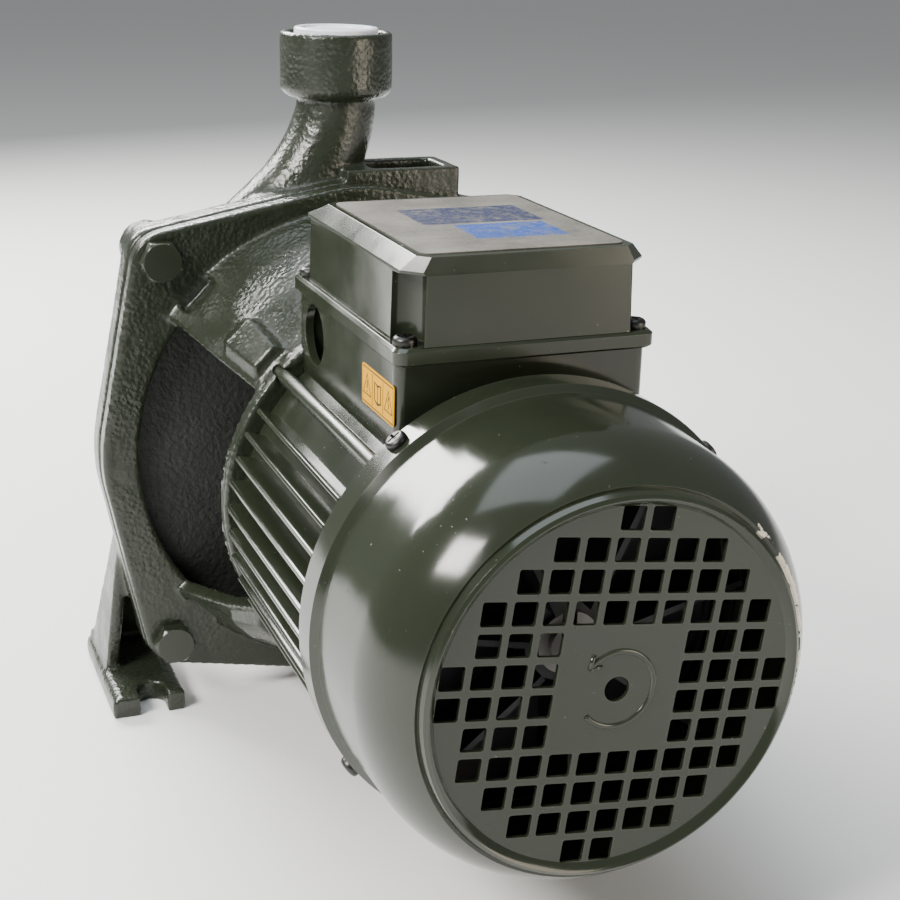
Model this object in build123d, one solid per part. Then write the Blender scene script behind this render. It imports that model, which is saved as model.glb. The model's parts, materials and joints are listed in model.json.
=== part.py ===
"""Close-coupled centrifugal water pump: cast-iron pump end, lantern bracket and finned induction motor.

Millimetres, +Z up, floor at z = 0. The shaft runs along Y: suction port towards -Y, fan towards +Y.
Sizes along the shaft are counted from the discharge port's axis, and everything is moved at the end
so that the origin lies under the middle of the object.
"""
from build123d import *
from math import cos, radians, sin
import os

# ---- driving sizes -------------------------------------------------------------------------
SHAFT_HEIGHT = 96.0          # shaft centre above the floor
SUCTION_FACE_Y = -43.5       # mouth of the suction port
COVER_END_Y = 238.5          # rearmost rim of the fan cover
FOOT_OUTER_X = 95.0          # half the overall width
PORT_TOP_Z = 240.0           # mouth of the discharge port
PORT_THREAD_R = 15.145       # G1 thread, minor radius
PORT_HUB_R = 20.0

SEAM_Y = 19.5                # joint face between pump body and bracket
BODY_FLANGE_T = 11.0
BRACKET_FLANGE_T = 7.5
FLANGE_APEX = 94.8           # outline: eight straight sides between apexes and corners
FLANGE_CORNER = 79.2
BOLT_AT = 71.0               # flange bolts, from the shaft in X and in height
BOLT_R = 4.0
BOLT_HOLE_R = 4.25
BOLT_AF = 13.0
BOLT_HEAD_T = 5.3

DRUM_R = 82.0                # outside of the casing
CHAMBER_R = 76.0
CHAMBER_Y = -15.0
COVER_SEAT_R = 81.3
COVER_PLATE_T = 4.0
WINDOW_HALF_DEG = 36.5       # the lantern's side openings reach this far above and below the shaft
LANTERN_R0, LANTERN_KNEE_R, LANTERN_R1 = 85.6, 74.1, 64.8
LANTERN_WALL = 5.0
LANTERN_KNEE_Y, LANTERN_END_Y = 60.0, 79.0
RING_R = 64.2
RING_END_Y = 84.5

ROD_AT = 43.6                # tie rods, from the shaft in X and in height
ROD_R = 2.5
BARREL_Y0, BARREL_Y1 = 85.2, 176.0
BARREL_R, BARREL_BORE_R = 58.5, 55.0
FIN_TIP_R = 65.6
FIN_T = 2.2
FIN_Y0, FIN_Y1 = 92.0, 175.4
FIN_PITCH_DEG = 7.4
STATOR_Y0, STATOR_Y1 = 103.0, 160.0
STATOR_BORE_R = 31.0
AIR_GAP = 0.4

FRONT_BEARING = dict(bore=8.5, outer=20.0, width=12.0, ball=3.37, pitch=14.25, count=8, y=78.0)
REAR_BEARING = dict(bore=6.0, outer=16.0, width=10.0, ball=2.97, pitch=11.0, count=7, y=169.5)

STRIP_R = 67.0               # fan cover's front strip
COVER_Y0, STRIP_Y1 = 179.0, 188.5
SHEET_T = 1.2
GRILLE_PITCH, GRILLE_HOLE = 8.41, 6.5
COVER_TURN_DEG = 7.4         # the cover is fitted turned by this much about the shaft
GRILLE_TOP_ROWS = [(6, 7), (4, 9), (3, 10), (2, 11), (2, 11), (1, 12)]     # first and last hole of each row
GRILLE_ROWS = GRILLE_TOP_ROWS + GRILLE_TOP_ROWS[::-1]
GRILLE_BLANK = (5, 8)        # rows and columns of the plain square in the middle

BOX_X, BOX_Y0, BOX_Y1 = 37.6, 79.8, 172.4
BOX_Z0, BOX_Z1 = 141.5, 166.4
BOX_WALL = 2.6
BOX_FLOOR_R = BARREL_R + 2.1  # top of the box's floor, which follows the barrel
CABLE_HOLE_R, CABLE_HOLE_Y, CABLE_HOLE_Z = 9.6, 97.0, 156.2
LIP_X, LIP_Y0, LIP_Y1 = 38.9, 77.0, 175.6
LID_Z0, LIP_Z1, LID_Z1 = 166.8, 171.8, 196.1

FOOT_INNER_X, FOOT_Y0, FOOT_Y1, FOOT_T = 68.6, -25.0, 34.0, 7.8
SLOT_X, SLOT_R, SLOT_END_Y = 80.0, 5.0, 27.5

MIDDLE_Y = (SUCTION_FACE_Y + COVER_END_Y) / 2
H = SHAFT_HEIGHT

os.makedirs("parts", exist_ok=True)


# ---- helpers -------------------------------------------------------------------------------
def save(name, shape, colour):
    """Write one named piece, moved so that the object's middle is at y = 0."""
    shape = Pos(0, -MIDDLE_Y, 0) * shape
    solids = shape.solids()
    shape = solids[0] if len(solids) == 1 else Compound(children=solids)
    shape.label = name
    shape.color = Color(*colour)
    export_step(shape, f"parts/{name}.step")


def turned(outline):
    """Revolve a closed (radius, y) outline about the shaft."""
    face = make_face(Polyline(*outline, close=True))
    return Pos(0, 0, H) * revolve(face, Axis.Y, 360)


def ring(r_out, r_in, y0, y1):
    return turned([(r_in, y0), (r_out, y0), (r_out, y1), (r_in, y1)])


def disc(r, y0, y1):
    return turned([(0, y0), (r, y0), (r, y1), (0, y1)])


def bar(r, y0, y1, x, z):
    """Round bar along the shaft's direction; x and z are counted from the shaft."""
    return Pos(x, (y0 + y1) / 2, H + z) * Rot(90, 0, 0) * Cylinder(r, y1 - y0)


def across(face, y0, y1):
    """Extrude a face drawn in x and height along the shaft's direction."""
    return extrude(Plane.XZ.offset(-y1) * face, y1 - y0, dir=(0, -1, 0))


def slab(x0, x1, y0, y1, z0, z1):
    return Pos((x0 + x1) / 2, (y0 + y1) / 2, (z0 + z1) / 2) * Box(x1 - x0, y1 - y0, z1 - z0)


def rod(p, q, r):
    """Round bar between two points."""
    line = Vector(*q) - Vector(*p)
    return extrude(Plane(origin=p, z_dir=line) * Circle(r), line.length)


def around(shape, angles):
    """Copies of a shape turned about the shaft by each angle in degrees."""
    turn = lambda a: Pos(0, 0, H) * Rot(0, -a, 0) * Pos(0, 0, -H)
    return [turn(a) * shape for a in angles]


def joined(shapes):
    first, *others = shapes
    return first.fuse(*others)


def quad(z, x0, x1, y0, y1):
    """Level rectangle, for lofts."""
    return Plane.XY.offset(z) * Pos((x0 + x1) / 2, (y0 + y1) / 2) * Rectangle(x1 - x0, y1 - y0)


def both_sides(shape):
    return [shape, mirror(shape, Plane.YZ)]


CORNERS = [(1, 1), (-1, 1), (-1, -1), (1, -1)]


def flange_outline(inset=0.0):
    a, c = FLANGE_APEX - inset, FLANGE_CORNER - inset
    points = [(a, 0), (c, c), (0, a), (-c, c), (-a, 0), (-c, -c), (0, -a), (c, -c)]
    face = Polygon(*points, align=None)
    apexes = [v for v in face.vertices() if min(abs(v.X), abs(v.Y)) < 1]
    corners = [v for v in face.vertices() if min(abs(v.X), abs(v.Y)) > 1]
    face = fillet(corners, 13)
    apexes = [v for v in face.vertices() if any(abs(v.X - w.X) + abs(v.Y - w.Y) < 0.01 for w in apexes)]
    return Pos(0, H) * fillet(apexes, 60)


# ---- colours -------------------------------------------------------------------------------
PAINT = (0.20, 0.23, 0.18)
BRASS = (0.72, 0.55, 0.25)
STEEL = (0.6, 0.6, 0.62)
RUBBER = (0.06, 0.06, 0.06)
WHITE = (0.92, 0.93, 0.95)
COPPER = (0.65, 0.34, 0.18)
DARK = (0.12, 0.12, 0.13)
YELLOW = (0.9, 0.75, 0.1)
CERAMIC = (0.85, 0.83, 0.78)


# ---- pump end ------------------------------------------------------------------------------
# centre line of the swan neck, from under the port's hub down into the casing (x, z),
# and the section's half widths across the bend and along the shaft at its two ends
NECK_LINE = [(0, 219), (0.4, 212), (2, 205), (5.5, 196.5), (12.5, 185), (23, 173.5), (33, 162), (39, 147),
             (40, 132)]
NECK_HALF_TOP = (14.0, 14.0)
NECK_HALF_FOOT = (19.0, 16.0)
NECK_SECTIONS = 16


def neck():
    """Swan neck: round under the port's hub, widening as it bends down into the casing."""
    line = Spline(*NECK_LINE, tangents=[(0, -1), (0, -1)])
    sections = []
    for i in range(NECK_SECTIONS):
        t = i / (NECK_SECTIONS - 1)
        centre, along = line @ t, line % t
        plane = Plane(origin=(centre.X, 0, centre.Y), x_dir=(-along.Y, 0, along.X),
                      z_dir=(along.X, 0, along.Y))
        across_bend, along_shaft = [top + (foot - top) * t
                                    for top, foot in zip(NECK_HALF_TOP, NECK_HALF_FOOT)]
        sections.append(plane * Ellipse(across_bend, along_shaft))
    return loft(sections, ruled=True)


def leg():
    """One foot with its side web and front web, on the +X side."""
    foot = slab(FOOT_INNER_X, FOOT_OUTER_X, FOOT_Y0, FOOT_Y1, 0, FOOT_T)
    outer_top = foot.edges().filter_by(Axis.Y).sort_by(Axis.X)[-2:].sort_by(Axis.Z)[-1]
    foot = chamfer(outer_top, 2.0)
    side_web = loft([quad(FOOT_T - 1, 88.8, 93.2, -22.5, 9.0), quad(62, 81.5, 86.2, -1.0, 9.0)])
    front_web = loft([quad(FOOT_T - 1, 69, 93, -24, -19), quad(62, 56, 84, -9, -3)])
    lip = slab(FOOT_INNER_X + 8, FOOT_OUTER_X - 1.5, FOOT_Y0, FOOT_Y0 + 4, FOOT_T - 1, FOOT_T + 2.5)
    slot = slab(SLOT_X - SLOT_R, SLOT_X + SLOT_R, SLOT_END_Y, FOOT_Y1 + 5, -1, FOOT_T + 1)
    slot += Pos(SLOT_X, SLOT_END_Y, FOOT_T / 2) * Cylinder(SLOT_R, FOOT_T + 2)
    return joined([foot, side_web, front_web, lip]) - slot


PASSAGE = [(0, 0, 224)] + [(x, 0, z) for x, z in NECK_LINE[2:]]
PRIMING_AT = (-46.0, 42.0)     # priming plug, x and height from the shaft, on the casing's front
DRAIN_AT = (0.0, -62.0)
PLUG_THREAD_R = 6.2
PLUG_FACE_Y = -26.0


def pump_body():
    """Cast casing with flange, feet, suction and discharge ports, and the open pocket beside the neck."""
    casing = turned([(0, SUCTION_FACE_Y), (21.5, SUCTION_FACE_Y), (21.5, -27), (30, -24.5), (68, -22.5),
                     (77, -19), (DRUM_R, -12), (DRUM_R, 12), (0, 12)])
    flange = across(flange_outline(), SEAM_Y - BODY_FLANGE_T, SEAM_Y)
    rims = flange.edges().filter_by(Axis.Y, reverse=True).group_by(Axis.Y)
    flange = chamfer(rims[-1], 0.6)
    hub = Pos(0, 0, (PORT_TOP_Z + 217.7) / 2) * Cylinder(PORT_HUB_R, PORT_TOP_Z - 217.7)
    hub = chamfer(hub.edges().filter_by(GeomType.CIRCLE).sort_by(Axis.Z)[0], 2.2)
    hub = fillet(hub.edges().filter_by(GeomType.CIRCLE).sort_by(Axis.Z)[-1], 0.6)
    block = slab(-41, 2, -7, SEAM_Y, 150, 193.6)
    block = fillet(block.edges().filter_by(Axis.Z).sort_by(Axis.X)[:2], 1.2)
    boss_shapes = [bar(10, PLUG_FACE_Y, -15, *PRIMING_AT), bar(10, PLUG_FACE_Y, -15, *DRAIN_AT)]
    bolt_bosses = [bar(9.5, 2, SEAM_Y - 2, BOLT_AT * sx, BOLT_AT * sz) for sx, sz in CORNERS]
    body = joined([casing, flange, neck(), hub, block, *boss_shapes, *bolt_bosses, *both_sides(leg())])

    chamber = disc(CHAMBER_R, CHAMBER_Y, SEAM_Y + 1)
    register = disc(COVER_SEAT_R + 0.05, SEAM_Y - COVER_PLATE_T - 0.05, SEAM_Y + 1)
    suction = turned([(0, SUCTION_FACE_Y - 1), (PORT_THREAD_R + 2, SUCTION_FACE_Y - 1),
                      (PORT_THREAD_R, SUCTION_FACE_Y + 1), (PORT_THREAD_R, -26.5), (17.0, -24),
                      (17.0, CHAMBER_Y + 1), (0, CHAMBER_Y + 1)])
    mouth = Pos(0, 0, 237.6) * Cylinder(16.7, 5.2)
    thread = Pos(0, 0, 229) * Cylinder(PORT_THREAD_R, 14)
    legs = zip(PASSAGE, PASSAGE[1:])
    passage = [rod(p, q, 9) for p, q in legs] + [Pos(*p) * Sphere(9) for p in PASSAGE[1:-1]]
    pocket = slab(-36.5, -9, -2.8, 15.2, 181, 195)
    pocket = fillet(pocket.edges().filter_by(Axis.Z), 2.0)
    plugs = [bar(PLUG_THREAD_R, PLUG_FACE_Y - 1, CHAMBER_Y + 1, *PRIMING_AT),
             bar(PLUG_THREAD_R, PLUG_FACE_Y - 1, CHAMBER_Y + 1, *DRAIN_AT)]
    bolts = [bar(BOLT_R, -1, SEAM_Y + 1, BOLT_AT * sx, BOLT_AT * sz) for sx, sz in CORNERS]
    cuts = [chamber, register, suction, mouth, thread, *passage, pocket, *plugs, *bolts]
    return body.cut(*cuts)


def hex_head(af, y0, y1, x, z):
    face = Pos(x, H + z) * RegularPolygon(af / 2, 6, major_radius=False)
    head = across(face, y0, y1)
    crown = bar(af / 2 * 1.14, y0, y1, x, z)
    crown = chamfer(crown.edges().filter_by(GeomType.CIRCLE).sort_by(Axis.Y)[-1], 0.9)
    return head & crown


def flange_bolts():
    """Four M8 hexagon screws, heads on the motor side."""
    rear = SEAM_Y + BRACKET_FLANGE_T
    shapes = []
    for sx, sz in CORNERS:
        x, z = BOLT_AT * sx, BOLT_AT * sz
        shank = bar(BOLT_R, 4, rear + 0.2, x, z)
        shapes.append(shank.fuse(hex_head(BOLT_AF, rear, rear + BOLT_HEAD_T, x, z)))
    return Compound(children=shapes)


def plug_screw(at, face_y):
    """Brass hexagon-headed plug, head on the casing's front."""
    x, z = at
    head = across(Pos(x, H + z) * RegularPolygon(7, 6, major_radius=False), face_y - 7, face_y - 2)
    collar = bar(8.2, face_y - 2, face_y, x, z)
    stem = bar(PLUG_THREAD_R, face_y - 1, face_y + 9, x, z)
    return joined([head, collar, stem])


def outlet_plug():
    """Plastic transit plug: a flange on the ledge above the thread and a shallow dished cap."""
    base = Pos(0, 0, 236.35) * Cylinder(16.4, 2.4)
    cap = Pos(0, 0, 239.3) * Cylinder(15.0, 4.4)
    cap = fillet(cap.edges().filter_by(GeomType.CIRCLE).sort_by(Axis.Z)[-1], 0.8)
    dish = Pos(0, 0, 241.6) * Cylinder(12.6, 1.6)
    return base.fuse(cap) - dish


def body_gasket():
    """Flat ring between casing cover and pump body, in a groove of the cover's face."""
    return ring(80.0, 78.0, SEAM_Y - COVER_PLATE_T - 0.02, SEAM_Y - COVER_PLATE_T + 1.2)


def casing_cover():
    """Disc that closes the chamber, with the seat of the mechanical seal in its middle."""
    y0 = SEAM_Y - COVER_PLATE_T
    plate = turned([(9.4, y0), (77.99, y0), (77.99, y0 + 1.22), (80.01, y0 + 1.22), (80.01, y0),
                    (COVER_SEAT_R, y0), (COVER_SEAT_R, SEAM_Y), (80.2, SEAM_Y), (26, SEAM_Y + 2.5),
                    (22, SEAM_Y + 6),
                    (9.4, SEAM_Y + 6)])
    seat = disc(14.0, y0 - 1, SEAM_Y + 2)
    return plate - seat


def seal_seat():
    return ring(13.95, 9.4, SEAM_Y - COVER_PLATE_T, SEAM_Y + 1.95)


def seal_rotor():
    y = SEAM_Y - COVER_PLATE_T - 0.05
    return turned([(7.55, y - 4), (13, y - 4), (13, y - 2), (11.5, y - 2), (11.5, y), (7.55, y)])


def seal_spring():
    """Helical spring between impeller hub and seal rotor."""
    turns, wire, radius = 3, 0.7, 10.0
    start = 5.9
    length = SEAM_Y - COVER_PLATE_T - 4.2 - start - 2 * wire
    helix = Helix(pitch=length / turns, height=length, radius=radius)
    start_plane = Plane(origin=helix @ 0, z_dir=helix % 0)
    coil = sweep(start_plane * Circle(wire), path=helix, is_frenet=True)
    return Pos(0, start + wire, H) * Rot(-90, 0, 0) * coil


IMPELLER_R = 68.0
IMPELLER_BORE_R = 6.0
IMPELLER_BLADES = 6


def impeller():
    """Closed radial impeller with backward-curved blades."""
    front = turned([(13.4, -21), (16.7, -21), (16.7, -12.5), (20, -11), (IMPELLER_R, -8.5),
                    (IMPELLER_R, -6.5), (13.4, -8.5)])
    back = turned([(IMPELLER_BORE_R, -6), (10, -6), (12, 0), (IMPELLER_R, 0), (IMPELLER_R, 2.5),
                   (12, 2.5), (12, 5.5), (IMPELLER_BORE_R, 5.5)])
    blade_arc = Pos(-24, -12) * CenterArc((0, 0), 49, 10, 62)
    blade = across(Pos(0, H) * trace(blade_arc, 2.4), -8.4, 0.5) & ring(IMPELLER_R - 0.3, 17, -10, 1)
    angles = [360 / IMPELLER_BLADES * i for i in range(IMPELLER_BLADES)]
    keyway = slab(-2, 2, -9, 6, H + 4, H + 7.2)
    return joined([front, back, *around(blade, angles)]) - keyway


def impeller_nut():
    face = Pos(0, H) * (RegularPolygon(8, 6, major_radius=False) - Circle(5))
    return across(face, -13.2, -6.2)


def impeller_key():
    return slab(-1.95, 1.95, -5.5, 5, H + 4.1, H + 7.1)


# ---- bracket -------------------------------------------------------------------------------
BRACKET_REAR_Y = SEAM_Y + BRACKET_FLANGE_T


def lantern_shell():
    """Cone between the pump flange and the motor, cut open on both sides."""
    wall = LANTERN_WALL
    shell = turned([(LANTERN_R0 - wall, BRACKET_REAR_Y - 1), (LANTERN_R0, BRACKET_REAR_Y - 1),
                    (LANTERN_R0, BRACKET_REAR_Y), (LANTERN_KNEE_R, LANTERN_KNEE_Y), (LANTERN_R1, LANTERN_END_Y),
                    (RING_R, LANTERN_END_Y + 0.5), (RING_R, RING_END_Y - 1.5), (RING_R - wall, RING_END_Y - 1.5),
                    (LANTERN_R1 - wall, LANTERN_END_Y - 3), (LANTERN_KNEE_R - wall, LANTERN_KNEE_Y)])
    half = radians(WINDOW_HALF_DEG)
    reach = 120.0
    wedge = Polygon((0, 0), (reach, reach * sin(half) / cos(half)), (reach, -reach * sin(half) / cos(half)),
                    align=None)
    window = across(Pos(0, H) * wedge, BRACKET_REAR_Y, LANTERN_END_Y)
    return shell.cut(*both_sides(window))


def rod_boss():
    """Ridge along the cone that takes a tie rod, drawn at 45 degrees and copied round."""
    sections = []
    for y, top, half in ((55.0, 75.0, 7.0), (62.0, 76.0, 9.0), (77.5, 69.0, 7.5)):
        points = [(54, -half), (top - 4, -half), (top, -half * 0.6),
                  (top, half * 0.6), (top - 4, half), (54, half)]
        sections.append(Plane.XZ.offset(-y) * Pos(0, H) * Rot(0, 0, 45) * Polygon(*points, align=None))
    return loft(sections, ruled=True)


def motor_bracket():
    """Cast lantern: pump flange, open cone, tie-rod bosses, and the front bearing's housing."""
    flange = across(flange_outline(0.4), SEAM_Y, BRACKET_REAR_Y) - disc(LANTERN_R0 - LANTERN_WALL, 0, 60)
    rims = flange.edges().filter_by(Axis.Y, reverse=True).group_by(Axis.Y)
    flange = chamfer([e for e in rims[0] if e.length < 75], 0.6)
    ring_flange = ring(RING_R, 50, LANTERN_END_Y, RING_END_Y)
    spigot = ring(BARREL_BORE_R - 0.05, 50, RING_END_Y - 1, RING_END_Y + 4)
    hub = turned([(FRONT_BEARING["outer"] - 3, 74.8), (26, 74.8), (26, 90.5), (FRONT_BEARING["outer"], 90.5),
                  (FRONT_BEARING["outer"], 78), (FRONT_BEARING["outer"] - 3, 78)])
    web = ring(63, 25, 77, 81.5)
    bosses = around(rod_boss(), [0, 90, 180, 270])
    rod_bores = [bar(ROD_R, 60, 90, ROD_AT * sx, ROD_AT * sz) for sx, sz in CORNERS]
    bolt_holes = [bar(BOLT_HOLE_R, 0, 60, BOLT_AT * sx, BOLT_AT * sz) for sx, sz in CORNERS]
    notch = slab(LANTERN_R0 - 3.8, LANTERN_R0 + 5, BRACKET_REAR_Y, BRACKET_REAR_Y + 7, H - 7, H + 7)
    notches = around(notch, [45, 135, 225, 315])
    shapes = [flange, lantern_shell(), ring_flange, spigot, hub, web]
    inside = turned([(0, 20), (LANTERN_R0 - LANTERN_WALL, 20), (LANTERN_R0 - LANTERN_WALL, BRACKET_REAR_Y - 1),
                     (LANTERN_KNEE_R - LANTERN_WALL, LANTERN_KNEE_Y),
                     (LANTERN_R1 - LANTERN_WALL, LANTERN_END_Y - 3), (50, 76.9), (26.1, 76.9), (26.1, 74),
                     (0, 74)])
    return joined([*shapes, *[b - inside for b in bosses]]).cut(*rod_bores, *bolt_holes, *notches)


def water_slinger():
    """Rubber ring that throws leaked water off the shaft."""
    return turned([(8.45, 52), (11, 52), (16, 54.5), (16, 56), (11, 57.5), (8.45, 57.5)])


# ---- shaft, bearings and rotor -------------------------------------------------------------
def shaft():
    """Stepped shaft, from the impeller nut's thread to the fan's seat."""
    steps = [(5.0, -14, -6.2), (6.0, -6.2, 5.5), (7.5, 5.5, 30), (8.45, 30, 78), (8.5, 78, 92),
             (11.0, 92, 162), (8.0, 162, 169), (6.0, 169, 210)]
    outline = [(0, steps[0][1])]
    for r, y0, y1 in steps:
        outline += [(r, y0), (r, y1)]
    outline.append((0, steps[-1][2]))
    keyway = slab(-1.95, 1.95, -5.5, 5, H + 4.1, H + 8)
    clip_groove = ring(7, 5.3, 207, 208.2)
    return turned(outline).cut(keyway, clip_groove)


def bearing_rings(b):
    y0, y1 = b["y"], b["y"] + b["width"]
    middle = (y0 + y1) / 2
    torus = Pos(0, middle, H) * Rot(90, 0, 0) * Torus(b["pitch"], b["ball"] + 0.02)
    outer = ring(b["outer"], b["pitch"] + b["ball"] * 0.62, y0, y1) - torus
    inner = ring(b["pitch"] - b["ball"] * 0.62, b["bore"], y0, y1) - torus
    return outer, inner


def bearing_balls(b):
    middle = b["y"] + b["width"] / 2
    ball = Pos(b["pitch"], middle, H) * Sphere(b["ball"])
    return Compound(children=around(ball, [360 / b["count"] * i for i in range(b["count"])]))


def bearing_cage(b):
    """Ring between the races with a round pocket for each ball."""
    middle = b["y"] + b["width"] / 2
    half = b["ball"] + 1.1
    body = ring(b["pitch"] + 0.9, b["pitch"] - 0.9, middle - half, middle + half)
    pocket = rod((b["pitch"] - 3, middle, H), (b["pitch"] + 3, middle, H), b["ball"] + 0.08)
    return body.cut(*around(pocket, [360 / b["count"] * i for i in range(b["count"])]))


ROTOR_R = STATOR_BORE_R - AIR_GAP


def rotor_core():
    return ring(ROTOR_R, 11.0, STATOR_Y0, STATOR_Y1)


def rotor_end_rings():
    """Cast aluminium rings of the squirrel cage, each with short cooling vanes."""
    shapes = []
    for y0, y1, tip in ((STATOR_Y0 - 6, STATOR_Y0, STATOR_Y0 - 10), (STATOR_Y1, STATOR_Y1 + 3.5, STATOR_Y1 + 5)):
        vane = slab(20.5, 27.5, min(y0, tip), max(y1, tip), H - 1, H + 1)
        shapes.append(joined([ring(29, 19, y0, y1), *around(vane, range(0, 360, 60))]))
    return Compound(children=shapes)


# ---- stator and housing --------------------------------------------------------------------
SLOTS = 24


def stator_core():
    """Laminated core with the winding slots opening into the bore."""
    core = ring(BARREL_BORE_R - 0.02, STATOR_BORE_R, STATOR_Y0, STATOR_Y1)
    pear = Pos(36.5, 0) * RectangleRounded(9, 5.0, 1.6) + Pos(31, 0) * Rectangle(6, 1.8)
    slot = across(Pos(0, H) * pear, STATOR_Y0 - 1, STATOR_Y1 + 1)
    return core.cut(*around(slot, [360 / SLOTS * i for i in range(SLOTS)]))


def stator_windings():
    """Copper bundles: two bound end turns joined through the slots."""
    bundle = across(Pos(36.6, H) * RectangleRounded(8.2, 4.2, 1.2), STATOR_Y0 - 2, STATOR_Y1 + 2)
    ends = []
    for y0, y1 in ((STATOR_Y0 - 11, STATOR_Y0 - 0.6), (STATOR_Y1 + 0.6, STATOR_Y1 + 10)):
        end = ring(47, 33, y0, y1)
        ends.append(fillet(end.edges().filter_by(GeomType.CIRCLE), 3.5))
    return joined([*ends, *around(bundle, [360 / SLOTS * i for i in range(SLOTS)])])


def fin_angles():
    """Fins stand on both sides, clear of the terminal box, the tie rods and the underside's middle."""
    side = [3.5 + FIN_PITCH_DEG * i for i in range(-5, 5)]
    lower = [-61.0 - FIN_PITCH_DEG * i for i in range(4)]
    right = side + lower
    return right + [180 - a for a in right]


def motor_housing():
    """Extruded aluminium barrel with lengthwise fins and a flat seat for the terminal box."""
    barrel = ring(BARREL_R, BARREL_BORE_R, BARREL_Y0, BARREL_Y1)
    fin_face = Polygon((BARREL_R - 1, -FIN_T * 0.75), (FIN_TIP_R - 1, -FIN_T / 2),
                       (FIN_TIP_R, -FIN_T / 2 + 0.6), (FIN_TIP_R, FIN_T / 2 - 0.6),
                       (FIN_TIP_R - 1, FIN_T / 2), (BARREL_R - 1, FIN_T * 0.75),
                       align=None)
    fin = across(Pos(0, H) * fin_face, FIN_Y0, FIN_Y1)
    lead_window = slab(-9, 9, 108, 126, H + 50, H + 70)
    return joined([barrel, *around(fin, fin_angles())]) - lead_window


def tie_rods():
    rods = [bar(ROD_R - 0.02, 62, 187.8, ROD_AT * sx, ROD_AT * sz) for sx, sz in CORNERS]
    return Compound(children=rods)


def tie_rod_nuts():
    nuts = []
    for sx, sz in CORNERS:
        face = Pos(ROD_AT * sx, H + ROD_AT * sz) * (RegularPolygon(3.5, 6, major_radius=False) - Circle(ROD_R))
        nuts.append(across(face, 184.0, 187.2))
    return Compound(children=nuts)


def rear_shield():
    """Motor end shield with the rear bearing's housing and ears for the tie rods."""
    r = REAR_BEARING["outer"]
    body = turned([(9, 165.5), (21.5, 165.5), (21.5, 176.4), (BARREL_BORE_R - 4, 176.4),
                   (BARREL_BORE_R - 4, 172.5), (BARREL_BORE_R - 0.05, 172.5), (BARREL_BORE_R - 0.05, 176.2),
                   (BARREL_R, 176.2), (BARREL_R, 177.5),
                   (STRIP_R - SHEET_T - 0.1, 177.5), (STRIP_R - SHEET_T - 0.1, 186), (BARREL_R + 2, 186),
                   (BARREL_R - 2, 181), (9, 180)])
    bore = disc(r, 168.0, 179.5)
    rods = [bar(ROD_R + 0.3, 160, 200, ROD_AT * sx, ROD_AT * sz) for sx, sz in CORNERS]
    nut_pads = [bar(6.5, 178, 183.9, ROD_AT * sx, ROD_AT * sz) for sx, sz in CORNERS]
    limit = disc(STRIP_R - SHEET_T - 0.1, 170, 190)
    screw_holes = around(rod((50, COVER_SCREW_Y, H), (70, COVER_SCREW_Y, H), 1.6), COVER_SCREW_DEG)
    pockets = [bar(4.8, 183.9, 190, ROD_AT * sx, ROD_AT * sz) for sx, sz in CORNERS]
    return joined([body, *[p & limit for p in nut_pads]]).cut(bore, *rods, *pockets, *screw_holes)


def wave_washer():
    b = REAR_BEARING
    return ring(b["outer"] - 0.2, b["outer"] - 3.5, b["y"] - 1.2, b["y"] - 0.05)


# ---- fan and its cover ---------------------------------------------------------------------
COVER_SCREW_DEG = [45 * k + COVER_TURN_DEG for k in (1, 3, 5, 7)]
COVER_SCREW_Y = 183.2
FAN_BLADES = 7


def fan():
    """Plastic fan: hub, back disc and straight radial blades."""
    hub = ring(12, 6.03, 190, 206)
    back = ring(48, 11, 190, 192)
    blade = slab(10, 52, 191, 212, H - 0.9, H + 0.9) - disc(11.5, 206, 214)
    tip_rim = ring(52, 50.5, 190, 194)
    blades = around(blade, [360 / FAN_BLADES * i + 12 for i in range(FAN_BLADES)])
    return joined([hub, back, tip_rim, ring(50.8, 47.5, 190, 192), *blades])


def fan_clip():
    """Spring clip in the shaft's last groove."""
    clip = ring(9, 5.35, 207.05, 208.15)
    return clip - slab(-2.2, 2.2, 200, 215, H, H + 12)


FACE_Y = 236.6               # pierced face, set below the rim's crest


def cover_line(skin, depth):
    """Fan cover's section from the front strip to the middle of the face.

    skin moves the line inwards from the outer surface and depth moves it forwards from the rear surface.
    """
    side = Polyline((STRIP_R - skin, COVER_Y0), (STRIP_R - skin, STRIP_Y1), (65.0 - skin, STRIP_Y1 + 2.0),
                    (64.7 - skin, STRIP_Y1 + 5.0), (63.8 - skin, 214.0))
    shoulder = ThreePointArc(side @ 1, (61.0 - skin * 0.8, 226.6 - depth * 0.5),
                             (54.6 - skin * 0.4, 236.0 - depth))
    rim = Polyline(shoulder @ 1, (53.8 - skin * 0.4, 235.8 - depth), (53.0 - skin * 0.4, 237.8 - depth),
                   (52.0 - skin * 0.4, COVER_END_Y - depth), (51.0 - skin * 0.4, 238.0 - depth),
                   (49.8 - skin * 0.4, FACE_Y - depth), (0, FACE_Y - depth))
    return side + shoulder + rim


def grille_holes():
    """Square holes on a square grid, with the plain square left in the middle."""
    holes = []
    low, high = GRILLE_BLANK
    for row, (first, last) in enumerate(GRILLE_ROWS, start=1):
        for col in range(first, last + 1):
            if low <= row <= high and low <= col <= high:
                continue
            holes.append(Pos((col - 6.5) * GRILLE_PITCH, (6.5 - row) * GRILLE_PITCH))
    face = Sketch() + [place * RectangleRounded(GRILLE_HOLE, GRILLE_HOLE, 0.7) for place in holes]
    return face + Circle(3.5)


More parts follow.
